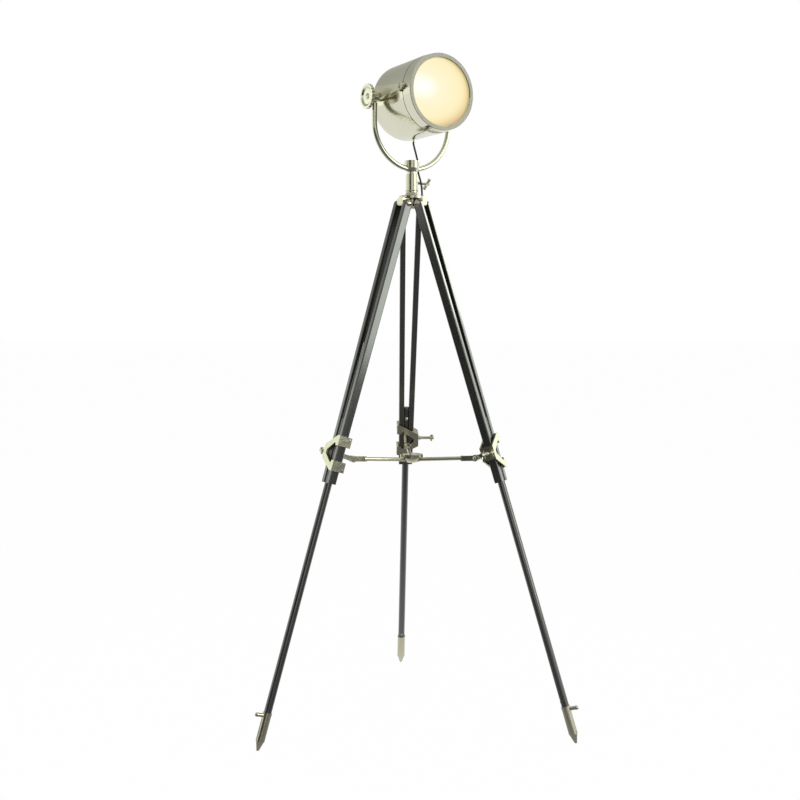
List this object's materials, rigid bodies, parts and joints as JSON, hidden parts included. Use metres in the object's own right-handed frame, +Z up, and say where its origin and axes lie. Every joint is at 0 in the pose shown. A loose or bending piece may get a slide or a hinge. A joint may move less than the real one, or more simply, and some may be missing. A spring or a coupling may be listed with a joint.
{
  "type": "tripod spotlight floor lamp",
  "caption": "Floor lamp with a tilting drum spotlight in a tube yoke on a folding wooden tripod with sliding feet and a spreader.",
  "frame": {"origin": "centre of the bounding box's footprint, on the floor", "axes": "+Z up along the lamp's axis, +Y towards the rear leg, the lamp head faces -Y and to +X"},
  "size_m": [0.7994, 0.6956, 1.7047],
  "materials": {
    "nickel": "polished nickel plating, slightly warm",
    "cast_nickel": "cast metal, polished and nickel plated",
    "satin_nickel": "satin nickel",
    "black_wood": "black semi-gloss lacquer on hardwood",
    "black_plastic": "matt black",
    "frosted_glass": "frosted, lit from behind with warm light",
    "opal_glass": "opal white lamp glass",
    "cord": "matt black round flex"
  },
  "bodies": {
    "hub": {"hub_casting": "cast_nickel", "leg_bolts": "nickel", "cable_bush": "black_plastic", "cord_lower": "cord"},
    "hub_screw": {"hub_lock_screw": "nickel"},
    "yoke": {"yoke_tube": "nickel", "yoke_eyes": "nickel", "yoke_socket": "cast_nickel", "yoke_post": "nickel", "tilt_washers": "nickel", "cord_upper": "cord"},
    "head": {"drum_shell": "nickel", "bezel_ring": "satin_nickel", "front_glass": "frosted_glass", "glass_retainer": "satin_nickel", "lamp_holder": "black_plastic", "holder_bracket": "satin_nickel", "bulb": "opal_glass", "side_arm_left": "cast_nickel", "side_arm_right": "cast_nickel", "arm_screws": "nickel", "bezel_clip": "nickel", "cable_gland": "nickel", "tilt_bolts": "nickel"},
    "knob_left": {"tilt_knob_left": "cast_nickel"},
    "knob_right": {"tilt_knob_right": "cast_nickel"},
    "disc": {"spreader_disc": "cast_nickel", "spreader_pins": "nickel"},
    "leg_left": {"rail_left_plate": "black_wood", "rail_left_screw": "black_wood", "clamp_bracket_left": "cast_nickel"},
    "clamp_left": {"clamp_screw_left": "nickel"},
    "foot_left": {"dowel_left": "black_wood", "stop_stud_left": "nickel", "shoe_left": "cast_nickel", "step_peg_left": "nickel"},
    "bar_left": {"spreader_bar_left": "cast_nickel", "knuckle_screw_left": "nickel"},
    "leg_right": {"rail_right_plate": "black_wood", "rail_right_screw": "black_wood", "clamp_bracket_right": "cast_nickel"},
    "clamp_right": {"clamp_screw_right": "nickel"},
    "foot_right": {"dowel_right": "black_wood", "stop_stud_right": "nickel", "shoe_right": "cast_nickel", "step_peg_right": "nickel"},
    "bar_right": {"spreader_bar_right": "cast_nickel", "knuckle_screw_right": "nickel"},
    "leg_rear": {"rail_rear_plate": "black_wood", "rail_rear_screw": "black_wood", "clamp_bracket_rear": "cast_nickel"},
    "clamp_rear": {"clamp_screw_rear": "nickel"},
    "foot_rear": {"dowel_rear": "black_wood", "stop_stud_rear": "nickel", "shoe_rear": "cast_nickel", "step_peg_rear": "nickel"},
    "bar_rear": {"spreader_bar_rear": "cast_nickel", "knuckle_screw_rear": "nickel"}
  },
  "joints": [
    {"name": "hub_screw_turn", "type": "hinge", "parent": "hub", "child": "hub_screw", "pos_m": [0.02267, -0.09176, 1.402], "axis": [0.7314, 0.682, 0], "range_deg": [-360, 0]},
    {"name": "yoke_pan", "type": "hinge", "parent": "hub", "child": "yoke", "pos_m": [0, -0.1129, 1.423], "axis": [0, 0, 1], "range_deg": [-90, 90], "deforming": ["cord_lower"]},
    {"name": "head_tilt", "type": "hinge", "parent": "yoke", "child": "head", "pos_m": [0, -0.1129, 1.607], "axis": [-0.8792, -0.4764, 0], "range_deg": [-42, 60], "deforming": ["cord_upper"]},
    {"name": "knob_left_turn", "type": "hinge", "parent": "head", "child": "knob_left", "pos_m": [-0.11588, -0.17569, 1.607], "axis": [-0.8792, -0.4764, 0], "range_deg": [0, 360]},
    {"name": "knob_right_turn", "type": "hinge", "parent": "head", "child": "knob_right", "pos_m": [0.11588, -0.05011, 1.607], "axis": [0.8792, 0.4764, 0], "range_deg": [0, 360]},
    {"name": "leg_left_fold", "type": "hinge", "parent": "hub", "child": "leg_left", "pos_m": [-0.02425, -0.1269, 1.346], "axis": [0.5, -0.866, 0], "range_deg": [0, 8.35]},
    {"name": "clamp_left_turn", "type": "hinge", "parent": "leg_left", "child": "clamp_left", "pos_m": [-0.21435, -0.19739, 0.71594], "axis": [-0.5, 0.866, 0], "range_deg": [-360, 0]},
    {"name": "foot_left_slide", "type": "slide", "parent": "leg_left", "child": "foot_left", "axis": [0.2619, 0.1512, 0.9532], "range_m": [-0.012, 0.45]},
    {"name": "leg_right_fold", "type": "hinge", "parent": "hub", "child": "leg_right", "pos_m": [0.02425, -0.1269, 1.346], "axis": [0.5, 0.866, 0], "range_deg": [0, 8.37]},
    {"name": "clamp_right_turn", "type": "hinge", "parent": "leg_right", "child": "clamp_right", "pos_m": [0.18035, -0.25628, 0.71594], "axis": [-0.5, -0.866, 0], "range_deg": [-360, 0]},
    {"name": "foot_right_slide", "type": "slide", "parent": "leg_right", "child": "foot_right", "axis": [-0.2619, 0.1512, 0.9532], "range_m": [-0.012, 0.45]},
    {"name": "leg_rear_fold", "type": "hinge", "parent": "hub", "child": "leg_rear", "pos_m": [0, -0.0849, 1.346], "axis": [-1, 0, 0], "range_deg": [0, 8.37]},
    {"name": "clamp_rear_turn", "type": "hinge", "parent": "leg_rear", "child": "clamp_rear", "pos_m": [0.034, 0.11498, 0.71594], "axis": [1, 0, 0], "range_deg": [-360, 0]},
    {"name": "foot_rear_slide", "type": "slide", "parent": "leg_rear", "child": "foot_rear", "axis": [0, -0.3024, 0.9532], "range_m": [-0.012, 0.45]},
    {"name": "disc_drop", "type": "slide", "parent": "hub", "child": "disc", "axis": [0, 0, -1], "range_m": [0, 0.15118]},
    {"name": "bar_left_swing", "type": "hinge", "parent": "disc", "child": "bar_left", "pos_m": [-0.01732, -0.1229, 0.686], "axis": [-0.5, 0.866, 0], "range_deg": [0, 61.66]},
    {"name": "bar_right_swing", "type": "hinge", "parent": "disc", "child": "bar_right", "pos_m": [0.01732, -0.1229, 0.686], "axis": [-0.5, -0.866, 0], "range_deg": [0, 61.66]},
    {"name": "bar_rear_swing", "type": "hinge", "parent": "disc", "child": "bar_rear", "pos_m": [0, -0.0929, 0.686], "axis": [1, 0, 0], "range_deg": [0, 61.66]}
  ],
  "couplings": [
    {"joint": "leg_right_fold", "follows": "leg_left_fold", "ratio": 1},
    {"joint": "leg_rear_fold", "follows": "leg_left_fold", "ratio": 1},
    {"joint": "disc_drop", "follows": "leg_left_fold", "m_per_rad": 1.0335},
    {"joint": "bar_left_swing", "follows": "leg_left_fold", "ratio": 7.3567},
    {"joint": "bar_right_swing", "follows": "leg_left_fold", "ratio": 7.3567},
    {"joint": "bar_rear_swing", "follows": "leg_left_fold", "ratio": 7.3567}
  ]
}
